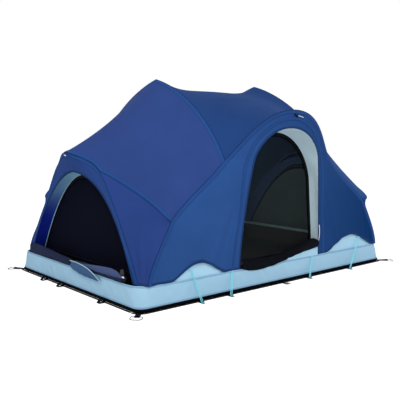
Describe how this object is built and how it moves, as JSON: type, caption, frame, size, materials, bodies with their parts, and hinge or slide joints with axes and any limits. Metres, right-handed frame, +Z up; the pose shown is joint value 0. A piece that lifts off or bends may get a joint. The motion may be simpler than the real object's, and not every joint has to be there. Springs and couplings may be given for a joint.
{
  "type": "tent",
  "caption": "Low dome tent with a padded floor, hooded side doors, hooded end windows, pegging rings and elastic hem cords.",
  "frame": {"origin": "centre of the ground pad's underside, on the ground", "axes": "+X along the long side to the right end, +Y from the near side to the far side, +Z up"},
  "size_m": [2.5934, 1.7662, 1.4214],
  "materials": {
    "cover_violet_blue": "matte",
    "cover_mid_blue": "matte",
    "cover_dark_blue": "matte",
    "pale_band": "satin",
    "ground_pad": "matte",
    "webbing": "matte",
    "floor_sheet": "matte",
    "inner_cloth": "matte",
    "mesh_net": "matte",
    "lining": "matte",
    "rolled_panel": "matte",
    "pole": "satin",
    "black_plastic": "satin",
    "steel_ring": "polished",
    "elastic_cord": "satin"
  },
  "bodies": {
    "tent": {"roof_middle": "cover_dark_blue", "roof_left": "cover_violet_blue", "end_hood_left": "cover_violet_blue", "corner_near_left": "cover_violet_blue", "side_panel_near_left": "cover_mid_blue", "corner_far_left": "cover_violet_blue", "side_panel_far_left": "cover_mid_blue", "roof_right": "cover_violet_blue", "end_hood_right": "cover_violet_blue", "corner_near_right": "cover_violet_blue", "side_panel_near_right": "cover_mid_blue", "corner_far_right": "cover_violet_blue", "side_panel_far_right": "cover_mid_blue", "door_hood_near": "cover_mid_blue", "door_hood_far": "cover_mid_blue", "pole_arch_left": "pole", "pole_end_left": "pole", "pole_arch_right": "pole", "pole_end_right": "pole", "pole_side_near": "pole", "pole_side_far": "pole", "pole_clip_near_left": "black_plastic", "pole_clip_near_right": "black_plastic", "pole_clip_far_left": "black_plastic", "pole_clip_far_right": "black_plastic", "ground_pad": "ground_pad", "floor_band": "pale_band", "floor_sheet": "floor_sheet", "inner_wall_near": "inner_cloth", "inner_wall_far": "inner_cloth", "inner_end_left": "inner_cloth", "inner_end_right": "inner_cloth", "door_lining_near": "lining", "door_lining_far": "lining", "door_roll_near": "rolled_panel", "door_roll_far": "rolled_panel", "window_roll_left": "rolled_panel", "window_roll_right": "rolled_panel", "webbing_near": "webbing", "webbing_far": "webbing", "webbing_left": "webbing", "webbing_right": "webbing", "cord_near_1": "elastic_cord", "cord_near_2": "elastic_cord", "cord_near_3": "elastic_cord", "cord_near_4": "elastic_cord", "cord_far_1": "elastic_cord", "cord_far_2": "elastic_cord", "cord_far_3": "elastic_cord", "cord_far_4": "elastic_cord"},
    "mesh_door_near": {"mesh_door_near": "mesh_net"},
    "mesh_door_far": {"mesh_door_far": "mesh_net"},
    "mesh_window_left": {"mesh_window_left": "mesh_net"},
    "mesh_window_right": {"mesh_window_right": "mesh_net"},
    "corner_ring_near_left": {"corner_ring_near_left": "steel_ring"},
    "corner_ring_near_right": {"corner_ring_near_right": "steel_ring"},
    "corner_ring_far_left": {"corner_ring_far_left": "steel_ring"},
    "corner_ring_far_right": {"corner_ring_far_right": "steel_ring"},
    "zip_slider_near": {"zip_slider_near": "black_plastic"},
    "zip_slider_far": {"zip_slider_far": "black_plastic"}
  },
  "joints": [
    {"name": "mesh_door_near_hinge", "type": "hinge", "parent": "tent", "child": "mesh_door_near", "pos_m": [-0.413, -0.6981, 0.16], "axis": [0.0885, 0, 0.9961], "range_deg": [0, 90]},
    {"name": "mesh_door_far_hinge", "type": "hinge", "parent": "tent", "child": "mesh_door_far", "pos_m": [0.413, 0.6981, 0.16], "axis": [-0.0885, 0, 0.9961], "range_deg": [0, 90]},
    {"name": "mesh_window_left_hinge", "type": "hinge", "parent": "tent", "child": "mesh_window_left", "pos_m": [-1.0881, 0, 0.16], "axis": [0, 1, 0], "range_deg": [0, 85]},
    {"name": "mesh_window_right_hinge", "type": "hinge", "parent": "tent", "child": "mesh_window_right", "pos_m": [1.0881, 0, 0.16], "axis": [0, -1, 0], "range_deg": [0, 85]},
    {"name": "corner_ring_near_left_pin", "type": "hinge", "parent": "tent", "child": "corner_ring_near_left", "pos_m": [-1.2448, -0.8248, 0.0055], "axis": [-0.7071, 0.7071, 0], "range_deg": [0, 150]},
    {"name": "corner_ring_near_right_pin", "type": "hinge", "parent": "tent", "child": "corner_ring_near_right", "pos_m": [1.2448, -0.8248, 0.0055], "axis": [-0.7071, -0.7071, 0], "range_deg": [0, 150]},
    {"name": "corner_ring_far_left_pin", "type": "hinge", "parent": "tent", "child": "corner_ring_far_left", "pos_m": [-1.2448, 0.8248, 0.0055], "axis": [0.7071, 0.7071, 0], "range_deg": [0, 150]},
    {"name": "corner_ring_far_right_pin", "type": "hinge", "parent": "tent", "child": "corner_ring_far_right", "pos_m": [1.2448, 0.8248, 0.0055], "axis": [0.7071, -0.7071, 0], "range_deg": [0, 150]},
    {"name": "zip_slider_near_travel", "type": "slide", "parent": "tent", "child": "zip_slider_near", "axis": [-0.091, 0, 0.9958], "range_m": [0, 0.4]},
    {"name": "zip_slider_far_travel", "type": "slide", "parent": "tent", "child": "zip_slider_far", "axis": [0.091, 0, 0.9958], "range_m": [0, 0.4]}
  ]
}
